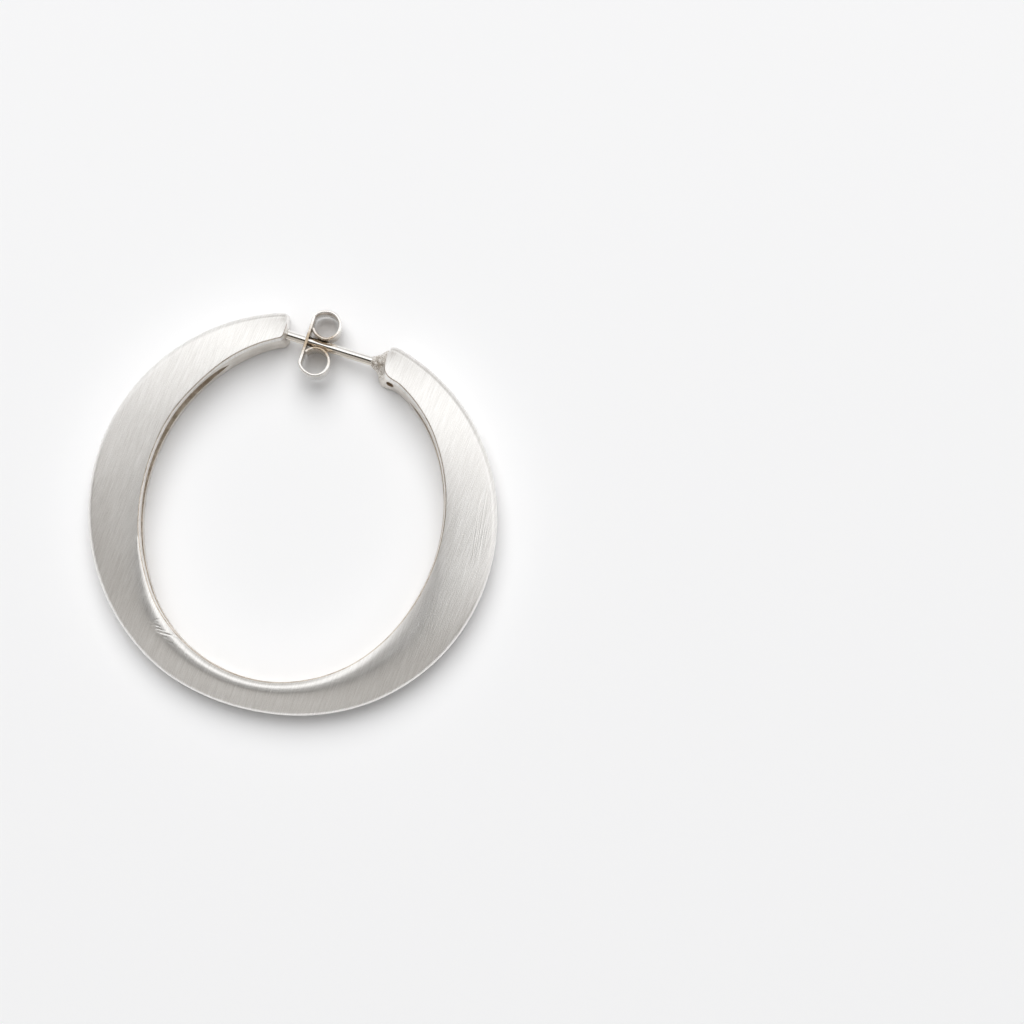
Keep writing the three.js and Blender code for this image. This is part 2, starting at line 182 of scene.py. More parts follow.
def mesh_object(
    name: str,
    verts: np.ndarray,
    faces: list,
    sharp_deg: float,
    finishes: list[bpy.types.Material] | None = None,
    chosen: np.ndarray | None = None,
) -> bpy.types.Object:
    """Makes a smooth-shaded mesh object with its hard edges marked sharp.

    Args:
        name: The object's name.
        verts: Corner points in metres, one row each.
        faces: Lists of corner indices.
        sharp_deg: Edges that bend by more than this stay sharp.
        finishes: Materials for the mesh, if it gets them here.
        chosen: Which of the materials each face has.

    Returns:
        The new object, linked to the scene.
    """
    mesh = bpy.data.meshes.new(name)
    mesh.from_pydata([tuple(v) for v in verts], [], faces)
    for finish in finishes or []:
        mesh.materials.append(finish)
    if chosen is not None:
        mesh.polygons.foreach_set("material_index", chosen)
    body = bmesh.new()
    body.from_mesh(mesh)
    bmesh.ops.remove_doubles(body, verts=body.verts, dist=1e-7)
    bmesh.ops.dissolve_degenerate(body, edges=body.edges, dist=1e-8)
    bmesh.ops.recalc_face_normals(body, faces=body.faces)
    body.to_mesh(mesh)
    body.free()
    piece = bpy.data.objects.new(name, mesh)
    bpy.context.scene.collection.objects.link(piece)
    shade(piece, sharp_deg)
    return piece


def shade(piece: bpy.types.Object, sharp_deg: float) -> None:
    """Shades a piece smoothly, apart from edges that bend by more than sharp_deg."""
    piece.data.shade_smooth()
    piece.data.set_sharp_from_angle(angle=math.radians(sharp_deg))


def grid_faces(rows: int, columns: int, closed_rows: bool, closed_columns: bool) -> list:
    """Lists the quads of a grid of points, wrapping round where it is closed.

    Args:
        rows: Number of rows of points.
        columns: Number of points in a row.
        closed_rows: Whether the last row joins the first.
        closed_columns: Whether each row's last point joins its first.

    Returns:
        Lists of four indices into the points, row by row.
    """
    faces = []
    for row in range(rows if closed_rows else rows - 1):
        after = (row + 1) % rows
        for column in range(columns if closed_columns else columns - 1):
            beside = (column + 1) % columns
            faces.append((
                row * columns + column,
                after * columns + column,
                after * columns + beside,
                row * columns + beside,
            ))
    return faces


def cut(piece: bpy.types.Object, cutter: bpy.types.Object) -> None:
    """Cuts a closed piece with a closed cutter, then deletes the cutter."""
    modifier = piece.modifiers.new("cut", "BOOLEAN")
    modifier.operation = "DIFFERENCE"
    modifier.solver = "EXACT"
    modifier.object = cutter
    bpy.context.view_layer.update()
    graph = bpy.context.evaluated_depsgraph_get()
    mesh = bpy.data.meshes.new_from_object(piece.evaluated_get(graph))
    piece.modifiers.clear()
    old = piece.data
    piece.data = mesh
    bpy.data.meshes.remove(old)
    bpy.data.objects.remove(cutter, do_unlink=True)


def lathe(name: str, profile: np.ndarray, sides: int, sharp_deg: float) -> bpy.types.Object:
    """Turns a profile about the Y axis.

    Args:
        name: The object's name.
        profile: Rows of radius and height in metres, starting and ending on the axis.
        sides: Number of steps round the axis.
        sharp_deg: Edges that bend by more than this stay sharp.

    Returns:
        The turned object.
    """
    turns = np.linspace(0, 2 * math.pi, sides, endpoint=False)
    rows = []
    for turn in turns:
        rows.append(np.column_stack([
            profile[:, 0] * math.cos(turn), profile[:, 1], profile[:, 0] * math.sin(turn),
        ]))
    verts = np.concatenate(rows)
    return mesh_object(name, verts, grid_faces(sides, len(profile), True, False), sharp_deg)


class NodeKit:
    """A small helper that adds and links shader nodes in one material."""

    def __init__(self, name: str) -> None:
        """Starts a material with an empty node tree."""
        self.material = bpy.data.materials.new(name)
        self.material.use_nodes = True
        self.tree = self.material.node_tree
        self.tree.nodes.clear()

    @classmethod
    def over(cls, tree: bpy.types.NodeTree) -> NodeKit:
        """Empties another node tree and returns a helper for it."""
        kit = cls.__new__(cls)
        kit.tree = tree
        tree.nodes.clear()
        return kit

    def add(self, kind: str, **settings: object) -> bpy.types.Node:
        """Adds a node and sets its properties."""
        node = self.tree.nodes.new(kind)
        for key, value in settings.items():
            setattr(node, key, value)
        return node

    def link(self, source: bpy.types.NodeSocket, target: bpy.types.NodeSocket) -> None:
        """Joins an output to an input."""
        self.tree.links.new(source, target)

    def math(self, operation: str, first: object, second: object = None) -> bpy.types.NodeSocket:
        """Adds a Math node.

        Args:
            operation: The node's operation.
            first: A socket or a number.
            second: A socket, a number, or nothing.

        Returns:
            The result socket.
        """
        node = self.add("ShaderNodeMath", operation=operation)
        for socket, value in zip(node.inputs, (first, second)):
            if isinstance(value, bpy.types.NodeSocket):
                self.link(value, socket)
            elif value is not None:
                socket.default_value = value
        return node.outputs[0]

    def total(self, *parts: tuple) -> bpy.types.NodeSocket:
        """Adds up pairs of a socket and its share."""
        result = self.math("MULTIPLY", *parts[0])
        for part in parts[1:]:
            result = self.math("ADD", result, self.math("MULTIPLY", *part))
        return result

    def dot(self, vector: bpy.types.NodeSocket, axis: tuple) -> bpy.types.NodeSocket:
        """Returns how far a vector goes along an axis."""
        node = self.add("ShaderNodeVectorMath", operation="DOT_PRODUCT")
        self.link(vector, node.inputs[0])
        node.inputs[1].default_value = axis
        return node.outputs["Value"]

    def spread(
        self,
        value: bpy.types.NodeSocket,
        low: float,
        high: float,
        to_low: float,
        to_high: float,
        curve: str = "LINEAR",
    ) -> bpy.types.NodeSocket:
        """Maps a value from one range to another, clamped.

        Args:
            value: The socket to map.
            low: Start of the range it comes in.
            high: End of the range it comes in.
            to_low: Start of the range it goes out in.
            to_high: End of the range it goes out in.
            curve: How it climbs between them.

        Returns:
            The mapped socket.
        """
        node = self.add("ShaderNodeMapRange", interpolation_type=curve)
        self.link(value, node.inputs["Value"])
        limits = {"From Min": low, "From Max": high, "To Min": to_low, "To Max": to_high}
        for key, number in limits.items():
            node.inputs[key].default_value = number
        return node.outputs["Result"]

    def pattern(self, vector: bpy.types.NodeSocket, scale: float, detail: float) -> bpy.types.Node:
        """Adds a Noise node that reads a vector."""
        node = self.add("ShaderNodeTexNoise")
        node.inputs["Scale"].default_value = scale
        node.inputs["Detail"].default_value = detail
        self.link(vector, node.inputs["Vector"])
        return node

    def streaks(self, turn: float, along_mm: float, across_mm: float, detail: float) -> bpy.types.NodeSocket:
        """Noise drawn out into parallel marks over the hoop's plane.

        Args:
            turn: Turn that brings the marks' direction onto +X, in radians.
            along_mm: How long a mark is.
            across_mm: How wide a mark is.
            detail: Number of finer layers.

        Returns:
            The noise value.
        """
        turned = self.add("ShaderNodeVectorRotate", rotation_type="Z_AXIS")
        turned.inputs["Angle"].default_value = turn
        self.link(self.here(), turned.inputs["Vector"])
        stretch = self.add("ShaderNodeMapping")
        long_scale = 1 / (along_mm * MM)
        stretch.inputs["Scale"].default_value = (long_scale, 1 / (across_mm * MM), long_scale)
        self.link(turned.outputs["Vector"], stretch.inputs["Vector"])
        node = self.pattern(stretch.outputs["Vector"], 1.0, detail)
        node.inputs["Roughness"].default_value = STREAK_ROUGHNESS
        return node.outputs["Fac"]

    def noise(self, size_mm: float, detail: float) -> bpy.types.NodeSocket:
        """Even noise whose blotches are about size_mm across."""
        return self.pattern(self.here(), 1 / (size_mm * MM), detail).outputs["Fac"]

    def here(self) -> bpy.types.NodeSocket:
        """Returns the place on the piece, in metres."""
        return self.add("ShaderNodeTexCoord").outputs["Object"]

    def tint(self, value: bpy.types.NodeSocket, dark: tuple, light: tuple) -> bpy.types.NodeSocket:
        """Mixes two colours by a value."""
        mix = self.add("ShaderNodeMix", data_type="RGBA")
        self.link(value, mix.inputs["Factor"])
        mix.inputs["A"].default_value = (*dark, 1.0)
        mix.inputs["B"].default_value = (*light, 1.0)
        return mix.outputs["Result"]

    def ramp(self, value: bpy.types.NodeSocket, stops: tuple) -> bpy.types.NodeSocket:
        """Colours a value of 0 to 1.

        Args:
            value: The value.
            stops: Pairs of a place from 0 to 1 and a colour, in order.

        Returns:
            The colour socket.
        """
        node = self.add("ShaderNodeValToRGB")
        self.link(value, node.inputs["Fac"])
        while len(node.color_ramp.elements) < len(stops):
            node.color_ramp.elements.new(1.0)
        for element, (at, color) in zip(node.color_ramp.elements, stops):
            element.position = at
            element.color = (*color, 1.0)
        return node.outputs["Color"]

    def bump(self, height: bpy.types.NodeSocket, depth_mm: float) -> bpy.types.NodeSocket:
        """Turns a height of 0 to 1 into a bumped normal, depth_mm from low to high."""
        node = self.add("ShaderNodeBump")
        node.inputs["Strength"].default_value = 1.0
        node.inputs["Distance"].default_value = depth_mm * MM
        self.link(height, node.inputs["Height"])
        return node.outputs["Normal"]

    def metal(
        self,
        color: bpy.types.NodeSocket,
        roughness: bpy.types.NodeSocket,
        normal: bpy.types.NodeSocket,
    ) -> bpy.types.Material:
        """Ends the tree with a metal surface.

        Args:
            color: The metal's colour.
            roughness: Its roughness.
            normal: Its bumped normal.

        Returns:
            The finished material.
        """
        surface = self.add("ShaderNodeBsdfPrincipled")
        surface.inputs["Metallic"].default_value = 1.0
        self.link(color, surface.inputs["Base Color"])
        self.link(roughness, surface.inputs["Roughness"])
        self.link(normal, surface.inputs["Normal"])
        output = self.add("ShaderNodeOutputMaterial")
        self.link(surface.outputs["BSDF"], output.inputs["Surface"])
        return self.material


@dataclass(frozen=True)
class BrushMarks:
    """One kind of brush mark: its lean from the main direction, its length and width, its layers."""

    lean_deg: float
    along_mm: float
    across_mm: float
    detail: float


@dataclass(frozen=True)
class BrushedSilver:
    """Silver brushed by hand in nearly one direction, with a fine grain and a few long scratches."""

    name: str = "brushed_silver_band"
    dark: tuple = (0.8, 0.782, 0.755)
    light: tuple = (0.99, 0.978, 0.958)
    smoothest: float = 0.28
    roughest: float = 0.33
    brush_deg: float = 68.0
    brush_depth: float = 0.014
    fine_marks: BrushMarks = BrushMarks(0.0, 2.0, 0.085, 1)
    crossing_marks: BrushMarks = BrushMarks(-8.0, 1.4, 0.06, 1)
    broad_marks: BrushMarks = BrushMarks(8.0, 5.0, 0.25, 1)
    scratch_marks: BrushMarks = BrushMarks(8.0, 9.0, 0.1, 0)
    worn_marks: BrushMarks = BrushMarks(12.0, 4.0, 0.13, 1)
    grain_mm: float = 0.085
    patch_mm: float = 5.0
    worn_place: tuple = (17.6, -0.9)
    worn_size: tuple = (1.2, 5.2)

    def marks(self, kit: NodeKit, kind: BrushMarks) -> bpy.types.NodeSocket:
        """Returns one kind of brush mark's value over the hoop's plane."""
        turn = -math.radians(self.brush_deg + kind.lean_deg)
        return kit.streaks(turn, kind.along_mm, kind.across_mm, kind.detail)

    def worn_patch(self, kit: NodeKit) -> bpy.types.NodeSocket:
        """Returns coarser scratches in one long patch near the outer edge."""
        local = kit.add("ShaderNodeMapping", vector_type="TEXTURE")
        lean = math.radians(self.brush_deg + self.worn_marks.lean_deg - 90)
        local.inputs["Location"].default_value = (self.worn_place[0] * MM, self.worn_place[1] * MM, 0)
        local.inputs["Rotation"].default_value = (0, 0, lean)
        local.inputs["Scale"].default_value = (self.worn_size[0] * MM, self.worn_size[1] * MM, 1)
        kit.link(kit.here(), local.inputs["Vector"])
        ball = kit.add("ShaderNodeTexGradient", gradient_type="SPHERICAL")
        kit.link(local.outputs["Vector"], ball.inputs["Vector"])
        mask = kit.spread(ball.outputs["Fac"], 0.1, 0.6, 0.0, 1.0, "SMOOTHSTEP")
        lines = self.marks(kit, self.worn_marks)
        return kit.math("MULTIPLY", kit.spread(lines, 0.42, 0.62, 0.0, 1.0), mask)

    def material(self) -> bpy.types.Material:
        """Returns the finish as a procedural material."""
        kit = NodeKit(self.name)
        brushed = kit.total(
            (self.marks(kit, self.fine_marks), 0.5),
            (self.marks(kit, self.crossing_marks), 0.3),
            (self.marks(kit, self.broad_marks), 0.2),
        )
        scratches = kit.spread(self.marks(kit, self.scratch_marks), 0.7, 0.8, 0.0, 1.0)
        grain = kit.noise(self.grain_mm, 2)
        patches = kit.noise(self.patch_mm, 2)
        height = kit.total((brushed, 1.7), (grain, 1.0), (scratches, 0.2), (self.worn_patch(kit), 0.9))
        shade_of = kit.total((brushed, 0.7), (grain, 0.3))
        color = kit.tint(kit.spread(shade_of, 0.36, 0.64, 0.0, 1.0), self.dark, self.light)
        rough = kit.total((brushed, 0.6), (patches, 0.4))
        roughness = kit.spread(rough, *NOISE_RANGE, self.smoothest, self.roughest)
        return kit.metal(color, roughness, kit.bump(height, self.brush_depth))


@dataclass(frozen=True)
class MottledSilver:
    """Silver with a wide bloom and a fine grain, the bloom with a share in colour, gloss and height."""

    name: str
    dark: tuple
    light: tuple
    smoothest: float
    roughest: float
    color_edge: tuple = (0.38, 0.62)
    bloom_mm: float = 0.9
    bloom_detail: float = 3
    bloom_color: float = 0.65
    bloom_rough: float = 0.0
    bloom_height: float = 0.0
    grain_mm: float = 0.12
    depth: float = 0.01

    def material(self) -> bpy.types.Material:
        """Returns the finish as a procedural material."""
        kit = NodeKit(self.name)
        bloom = kit.noise(self.bloom_mm, self.bloom_detail)
        grain = kit.noise(self.grain_mm, 2)
        shares = self.bloom_color, self.bloom_rough, self.bloom_height
        shade_of, rough, height = (kit.total((bloom, share), (grain, 1 - share)) for share in shares)
        color = kit.tint(kit.spread(shade_of, *self.color_edge, 0.0, 1.0), self.dark, self.light)
        roughness = kit.spread(rough, *NOISE_RANGE, self.smoothest, self.roughest)
        return kit.metal(color, roughness, kit.bump(height, self.depth))


@dataclass(frozen=True)
class PostSilverPaintedLight:
    """Polished wire with painted light: a highlight on one side, a dark reflection along its middle, shade
    on the other.
    """

    name: str = "polished_silver_post_painted_light"
    # Colours set by the side of the post: painted shade on its lower side, deeper at its edges, a painted
    # dark reflection along its middle and a painted highlight on its upper side.
    dull_tone_and_painted_shade: tuple = (0.8, 0.755, 0.69)
    painted_deep_shade: tuple = (0.66, 0.6, 0.53)
    painted_dark_reflection: tuple = (0.3, 0.235, 0.17)
    light: tuple = (0.98, 0.965, 0.94)
    smoothest: float = 0.08
    roughest: float = 0.2
    line_length: float = 3.0
    line_width: float = 0.05
    line_depth: float = 0.003
    wear_mm: float = 0.5
    band_shift: float = 0.16

    def material(self, across: tuple, middle: float, reach: float) -> bpy.types.Material:
        """Makes the finish as a procedural material.

        Args:
            across: The direction across the post, in the hoop's plane.
            middle: How far along that direction the post's axis is, in metres.
            reach: The post's radius in metres.

        Returns:
            The material.
        """
        kit = NodeKit(self.name)
        turn = math.atan2(across[1], across[0]) - math.pi / 2
        lines = kit.streaks(-turn, self.line_length, self.line_width, 2)
        wear = kit.noise(self.wear_mm, 3)
        # The colour follows the side of the post: painted shade, then a painted dark reflection line, then a
        # painted highlight.
        place = kit.dot(kit.here(), (*across, 0.0))
        share = kit.spread(place, middle - reach, middle + reach, 0.0, 1.0)
        shifted = kit.total((share, 1.0), (kit.math("SUBTRACT", lines, 0.5), self.band_shift))
        color = kit.ramp(shifted, (
            (0.0, self.painted_deep_shade), (0.12, self.dull_tone_and_painted_shade), (0.3, self.dull_tone_and_painted_shade), (0.38, self.painted_deep_shade),
            (0.42, self.painted_dark_reflection), (0.47, self.painted_dark_reflection), (0.52, self.light),
        ))
        mixed = kit.total((lines, 0.5), (wear, 0.5))
        roughness = kit.spread(mixed, *NOISE_RANGE, self.smoothest, self.roughest)
        return kit.metal(color, roughness, kit.bump(lines, self.line_depth))


@dataclass(frozen=True)
class StripSilver:
    """Polished strip with a brown film where it grips the post."""

    name: str = "polished_silver_strip"
    film: tuple = (0.5, 0.405, 0.3)
    dull_tone_and_painted_shade: tuple = (0.74, 0.69, 0.63)
    light: tuple = (0.9, 0.88, 0.85)
    smoothest: float = 0.1
    roughest: float = 0.2
    film_reach: float = 2.4
    blotch_shift: float = 0.9
    wear_mm: float = 0.4
    grain_mm: float = 0.1
    grain_depth: float = 0.004

    def material(self, across: tuple, middle: float) -> bpy.types.Material:
        """Makes the finish as a procedural material.

        Args:
            across: The direction across the post, in the hoop's plane.
            middle: How far along that direction the post's axis is, in metres.

        Returns:
            The material.
        """
        kit = NodeKit(self.name)
        wear = kit.noise(self.wear_mm, 3)
        grain = kit.noise(self.grain_mm, 2)
        away = kit.math("SUBTRACT", kit.dot(kit.here(), (*across, 0.0)), middle)
        share = kit.spread(kit.math("ABSOLUTE", away), 0.0, self.film_reach * MM, 0.0, 1.0)
        blotched = kit.total((share, 1.0), (kit.math("SUBTRACT", wear, 0.5), self.blotch_shift))
        stops = (0.0, self.film), (0.2, self.film), (0.4, self.dull_tone_and_painted_shade), (0.75, self.light)
        color = kit.ramp(blotched, stops)
        roughness = kit.spread(wear, *NOISE_RANGE, self.smoothest, self.roughest)
        return kit.metal(color, roughness, kit.bump(grain, self.grain_depth))


@dataclass(frozen=True)
class Crease:
    """A short fold in the face, from one place on the hoop's plane to another, in millimetres."""

    start: tuple
    end: tuple
    depth: float
    width: float = 0.075
    run_out: float = 0.1
    run_in: float = 0.4
    ridge_place: float = 1.7
    ridge_share: float = 0.7

    def rise(self, x: np.ndarray, y: np.ndarray) -> np.ndarray:
        """Works out how far the fold moves the face up, or down where it is below 0.

        Args:
            x: Places across the hoop's plane.
            y: Places along it.

        Returns:
            The rise at each place.
        """
        run = np.array(self.end) - np.array(self.start)
        length = float(np.hypot(*run))
        along = ((x - self.start[0]) * run[0] + (y - self.start[1]) * run[1]) / length
        beside = ((y - self.start[1]) * run[0] - (x - self.start[0]) * run[1]) / length
        begun = smooth_step(-self.run_out, self.run_in, along)
        ended = smooth_step(length - self.run_in, length + self.run_out, along)
        groove = np.exp(-(beside / self.width)**2)
        ridge = np.exp(-((beside - self.ridge_place * self.width) / self.width)**2)
        return begun * (1 - ended) * self.depth * (self.ridge_share * ridge - groove)


@dataclass
class BandOutline:
    """The band's outline across, at every station."""

    across: list[np.ndarray] = field(default_factory=list)
    heights: list[np.ndarray] = field(default_factory=list)
    spans: dict[str, slice] = field(default_factory=dict)
    columns: int = 0

    def put(self, part: str, x: np.ndarray, z: np.ndarray) -> None:
        """Adds the next points of the outline.

        Args:
            part: What they belong to.
            x: Distances from the hoop's centre, one row for each station.
            z: Heights.
        """
        x, z = np.broadcast_arrays(x, z)
        self.across.append(x)
        self.heights.append(z)
        self.spans[part] = slice(self.columns, self.columns + x.shape[1])
        self.columns += x.shape[1]

    def put_arc(
        self, part: str, x: np.ndarray, z: np.ndarray, radius: float, start: float, steps: int,
    ) -> None:
        """Adds a quarter circle.

        Args:
            part: What it belongs to.
            x: Its centre's distance from the hoop's centre, at each station.
            z: Its centre's height.
            radius: Its radius.
            start: The angle that it starts at, in degrees.
            steps: Number of steps along it.
        """
        turn = np.radians(np.linspace(start, start + 90, steps + 1))[None, :]
        self.put(part, x[:, None] + radius * np.cos(turn), z[:, None] + radius * np.sin(turn))


@dataclass
class HoopBand:
    """The hollow band, from its left end round to its right, with sizes in millimetres."""

    radius: float = 19.0
    face_height: float = 3.5
    shell_wall: float = 0.55
    base_round: float = 0.45
    shoulder_round: float = 0.48
    shoulder_bulge: float = 1.45
    lip_round: float = 0.1
    foot_round: float = 0.25
    slot_round: float = 0.05
    end_round: float = 0.1
    left_end_angle: float = 91.5
    sweep: float = 327.8
    curve_power: float = 1.6
    dip_power: float = 3.5
    wall_power: float = 1.2
    hollow_chamfer: float = 0.2
    close_length: float = 1.6
    even_from: float = 1.7
    stations: int = 420
    face_steps: int = 72
    creased_ways: tuple = (0.373, 0.417)
    creased_stations: int = 76
    creases: tuple[Crease, ...] = (
        Crease((-13.66, -9.92), (-12.1, -10.42), 0.01),
        Crease((-13.14, -10.42), (-11.8, -10.78), 0.012),
        Crease((-12.85, -10.75), (-10.4, -11.42), 0.024),
        Crease((-12.6, -11.1), (-11.5, -11.45), 0.009),
        Crease((-12.0, -11.65), (-10.95, -12.0), 0.009),
        Crease((-12.75, -9.82), (-11.9, -9.6), 0.012),
    )
    # Steps of the upper wall under the lip that keep the brushed finish; the wall below them is painted
    # darker as shade.
    bright_steps: int = 3
    finish: BrushedSilver = BrushedSilver()
    hollow_finish: MottledSilver = MottledSilver(
        "tarnished_silver_hollow", (0.6, 0.5, 0.39), (0.92, 0.83, 0.72), 0.35, 0.6,
    )
    # The lip's corner is painted darker, as a thin line of painted shade.
    lip_painted_shade: MottledSilver = MottledSilver(
        "silver_lip_painted_shade", (0.5, 0.43, 0.36), (0.75, 0.68, 0.6), 0.29, 0.36,
    )
    # The inner wall below the bright steps is painted grey-brown, as painted shade.
    wall_painted_shade: MottledSilver = MottledSilver(
        "silver_wall_painted_shade", (0.7, 0.655, 0.6), (0.86, 0.825, 0.775), 0.29, 0.38,
        color_edge=(0.36, 0.64), bloom_mm=1.2, bloom_color=0.7, bloom_rough=0.7, grain_mm=0.1, depth=0.004,
    )

    def way_of(self, length: float | np.ndarray) -> float | np.ndarray:
        """Returns the share of the way round that a length along the band takes up."""
        return length / (self.radius * math.radians(self.sweep))

    def turn_at(self, ways: np.ndarray) -> np.ndarray:
        """Returns the angle round the hoop, in radians, at shares of the way round."""
        return np.radians(self.left_end_angle + self.sweep * np.asarray(ways))

    def band_at(self, ways: np.ndarray) -> dict[str, np.ndarray]:
        """Reads the section's sizes.

        Args:
            ways: Shares of the way round.

        Returns:
            Each of the table's columns at those ways, in millimetres, and ridge as a share.
        """
        scales = {"ridge": 1.0, "crest": self.face_height, "lip_height": self.face_height,
                  "shoulder": self.face_height}
        return {
            name: read_column(BAND_TABLE, index, ways) * scales.get(name, self.radius)
            for index, name in enumerate(BAND_COLUMNS) if index
        }

    def face_heights(self, band: dict[str, np.ndarray], shares: np.ndarray) -> np.ndarray:
        """Works out the top face's height.

        Args:
            band: The section's sizes, one value for each station.
            shares: Shares of the face's width, counted from the outer side.

        Returns:
            One row of heights for each station.
        """
        ridge = band["ridge"][:, None]
        crest = band["crest"][:, None]
        share = shares[None, :]
        climb = np.power(np.clip(1 - share / ridge, 0, None), self.curve_power)
        foot = np.power(np.clip(1 - 1 / np.maximum(ridge, 1), 0, None), self.curve_power)
        outer = crest - (crest - band["shoulder"][:, None]) * (climb - foot) / (1 - foot)
        dip = np.clip((share - ridge) / np.where(ridge < 0.999, 1 - ridge, 1.0), 0, None)
        inner = crest - (crest - band["lip_height"][:, None]) * dip**self.dip_power
        return np.where(share <= ridge, outer, inner)

    def wall_at(self, band: dict[str, np.ndarray], top: np.ndarray, heights: np.ndarray) -> np.ndarray:
        """Works out the inner wall's distance from the hoop's centre.

        Args:
            band: The section's sizes.
            top: The wall's height at each station.
            heights: Heights to read it at, one row for each station.

        Returns:
            The wall's distance at those heights.
        """
        climb = np.clip((heights - self.foot_round) / (top[:, None] - self.foot_round), 0, 1)
        return band["foot"][:, None] + (band["lip"] - band["foot"])[:, None] * climb**self.wall_power

    def outline(self, ways: np.ndarray, insets: np.ndarray) -> BandOutline:
        """Works out the outline across the band, through the slot and round the hollow.

        Args:
            ways: Shares of the way round.
            insets: How far each station's outline is moved in, for the rounded ends.

        Returns:
            The outline at each station.
        """
        band = self.band_at(ways)
        band["reach"] = band["reach"] - insets
        band["lip"] = band["lip"] + insets
        band["foot"] = band["foot"] + insets
        reach, lip, foot = band["reach"], band["lip"], band["foot"]
        floor = insets
        shoulder = band["shoulder"] - insets
        outline = BandOutline()
        low_edge = floor + self.base_round
        outline.put_arc("base_edge", reach - self.base_round, low_edge, self.base_round, -90, 6)
        side = np.linspace(0, 1, 7)[None, 1:-1]
        side_low = low_edge[:, None]
        side_high = (shoulder - self.shoulder_round)[:, None]
        outline.put("side", reach[:, None] + 0 * side, side_low + (side_high - side_low) * side)
        turn = np.radians(np.linspace(0, 90, 9))[None, :]
        ease = 2 / self.shoulder_bulge
        outline.put(
            "shoulder",
            (reach - self.shoulder_round)[:, None] + self.shoulder_round * np.cos(turn)**ease,
            (shoulder - self.shoulder_round)[:, None] + self.shoulder_round * np.sin(turn)**ease,
        )
        shares = np.linspace(0, 1, self.face_steps + 1)[1:]
        face_from = (reach - self.shoulder_round)[:, None]
        face_to = (lip + self.lip_round)[:, None]
        face = self.face_heights(band, shares) - insets[:, None]
        outline.put("face", face_from + (face_to - face_from) * shares[None, :], face)
        wall_top = face[:, -1] - self.lip_round
        outline.put_arc("lip", lip + self.lip_round, wall_top, self.lip_round, 90, 4)

        first, last = SLOT_TABLE[0, 0], SLOT_TABLE[-1, 0]
        open_here = ((ways > first) & (ways < last))[:, None]
        low = (read_column(SLOT_TABLE, 1, ways) * self.face_height)[:, None]
        high = (read_column(SLOT_TABLE, 2, ways) * self.face_height)[:, None]
        shut = (low + high) / 2
        low = np.where(open_here, low, shut)
        high = np.where(open_here, high, shut)
        upper = np.linspace(0, 1, 11)[None, 1:]
        upper_z = wall_top[:, None] + (high - wall_top[:, None]) * upper
        outline.put("upper_wall", self.wall_at(band, wall_top, upper_z), upper_z)
        hollow_x, hollow_z = self.hollow(band, wall_top, low, high)
        shut_x = self.wall_at(band, wall_top, shut)
        outline.put("hollow", np.where(open_here, hollow_x, shut_x), np.where(open_here, hollow_z, shut))
        lower = np.linspace(0, 1, 7)[None, :-1]
        foot_top = (floor + self.foot_round)[:, None]
        lower_z = low + (foot_top - low) * lower
        outline.put("lower_wall", self.wall_at(band, wall_top, lower_z), lower_z)
        outline.put_arc("foot_edge", foot + self.foot_round, foot_top[:, 0], self.foot_round, 180, 5)
        base = np.linspace(0, 1, 6)[None, 1:-1]
        base_from = (foot + self.foot_round)[:, None]
        base_to = (reach - self.base_round)[:, None]
        outline.put("base", base_from + (base_to - base_from) * base, floor[:, None] + 0 * base)
        return outline

    def hollow(
        self, band: dict[str, np.ndarray], wall_top: np.ndarray, low: np.ndarray, high: np.ndarray,
    ) -> tuple[np.ndarray, np.ndarray]:
        """Works out the outline of the hollow behind the slot.

        Args:
            band: The section's sizes.
            wall_top: The inner wall's height.
            low: The slot's lower edge.
            high: The slot's upper edge.

        Returns:
            Distances and heights, from the slot's upper edge round to its lower one.
        """
        wall = self.shell_wall
        outer = (band["reach"] - wall)[:, None]
        top_share = np.linspace(1, 0, 9)[None, :]
        face_from = (band["reach"] - self.shoulder_round)[:, None]
        face_to = (band["lip"] + self.lip_round)[:, None]
        inner_top = (np.maximum(band["lip"], band["foot"]) + wall)[:, None]
        roof_x = inner_top + (outer - self.shoulder_round - inner_top) * (1 - top_share)
        roof_share = (roof_x - face_from) / (face_to - face_from)
        roof_z = np.take_along_axis(
            self.face_heights(band, np.linspace(0, 1, 101)),
            np.clip(np.round(roof_share * 100), 0, 100).astype(int), axis=1,
        ) - wall
        inner_high = self.wall_at(band, wall_top, high) + wall
        inner_low = self.wall_at(band, wall_top, low) + wall
        side_z = (band["shoulder"] - wall - self.shoulder_round)[:, None]
        floor_z = np.full_like(outer, wall)
        floor_x = np.concatenate([outer - self.hollow_chamfer, inner_low], axis=1)
        x = np.concatenate([inner_high, roof_x, outer, outer, floor_x, inner_low], axis=1)
        z = np.concatenate([
            high, roof_z, side_z, floor_z + self.hollow_chamfer, floor_z, floor_z,
            np.maximum(low, floor_z),
        ], axis=1)
        return x, z

    def station_ways(self) -> tuple[np.ndarray, np.ndarray]:
        """Spaces the stations, closer where the ends are rounded off.

        Returns:
            The ways of all stations, and how far each one's outline is moved in.
        """
        turns = np.radians(np.linspace(0, 90, 6))
        distances = self.end_round * (1 - np.cos(turns))
        insets = self.end_round * (1 - np.sin(turns))
        near = self.way_of(distances)
        close = self.way_of(self.close_length) * np.linspace(0, 1, 14)[1:-1] + near[-1]
        left = np.concatenate([near, close])
        start = self.way_of(self.even_from)
        even = np.linspace(start, 1 - start, self.stations)
        first, last = self.creased_ways
        middle = np.concatenate([
            even[even < first], np.linspace(first, last, self.creased_stations), even[even > last],
        ])
        ways = np.concatenate([left, middle, 1 - left[::-1]])
        pad = np.zeros(len(close))
        moved = np.concatenate([insets, pad, np.zeros(len(middle)), pad, insets[::-1]])
        return ways, moved

